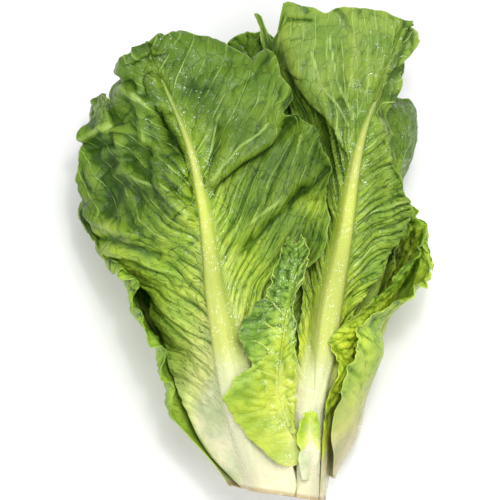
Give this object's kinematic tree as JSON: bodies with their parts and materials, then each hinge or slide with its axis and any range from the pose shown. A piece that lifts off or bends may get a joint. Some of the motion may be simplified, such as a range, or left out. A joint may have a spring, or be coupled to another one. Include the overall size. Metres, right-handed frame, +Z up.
{
  "type": "romaine lettuce head",
  "caption": "Head of romaine lettuce lying on its side: long green crinkled leaves with thick pale midribs round a short stem with a cut end.",
  "frame": {"origin": "middle of the underside of the head's box, on the surface it lies on", "axes": "+Z up, +Y along the head from the cut end to the leaf tips, +X to the right as seen from above with the tips away from the viewer"},
  "size_m": [0.207, 0.2832, 0.1135],
  "materials": {
    "stem": "moist cut stem, cream white, browned at its rim",
    "heart_leaves": "pale yellow-green young leaf, crinkled, cream at the base",
    "inner_leaves": "mid green leaf with a pale midrib and raised side veins",
    "outer_leaves": "waxy green leaf, wet sheen, raised veins, cream midrib",
    "small_leaves": "bright yellow-green crumpled small leaf, wet sheen"
  },
  "bodies": {
    "root": {"stem": "stem", "heart_leaf_1": "heart_leaves", "heart_leaf_2": "heart_leaves", "heart_leaf_3": "heart_leaves", "heart_leaf_4": "heart_leaves", "heart_leaf_5": "heart_leaves", "heart_leaf_6": "heart_leaves", "leaf_behind_gap": "inner_leaves", "under_leaf_left": "inner_leaves", "under_leaf_right": "inner_leaves", "back_leaf_left": "outer_leaves", "back_leaf_right": "outer_leaves", "front_leaf_right": "outer_leaves", "front_leaf_left": "outer_leaves", "inner_leaf_right": "outer_leaves", "outer_leaf_left": "outer_leaves", "outer_leaf_right": "outer_leaves", "bottom_leaf": "outer_leaves", "small_leaf": "small_leaves", "shoot": "small_leaves"}
  },
  "joints": []
}
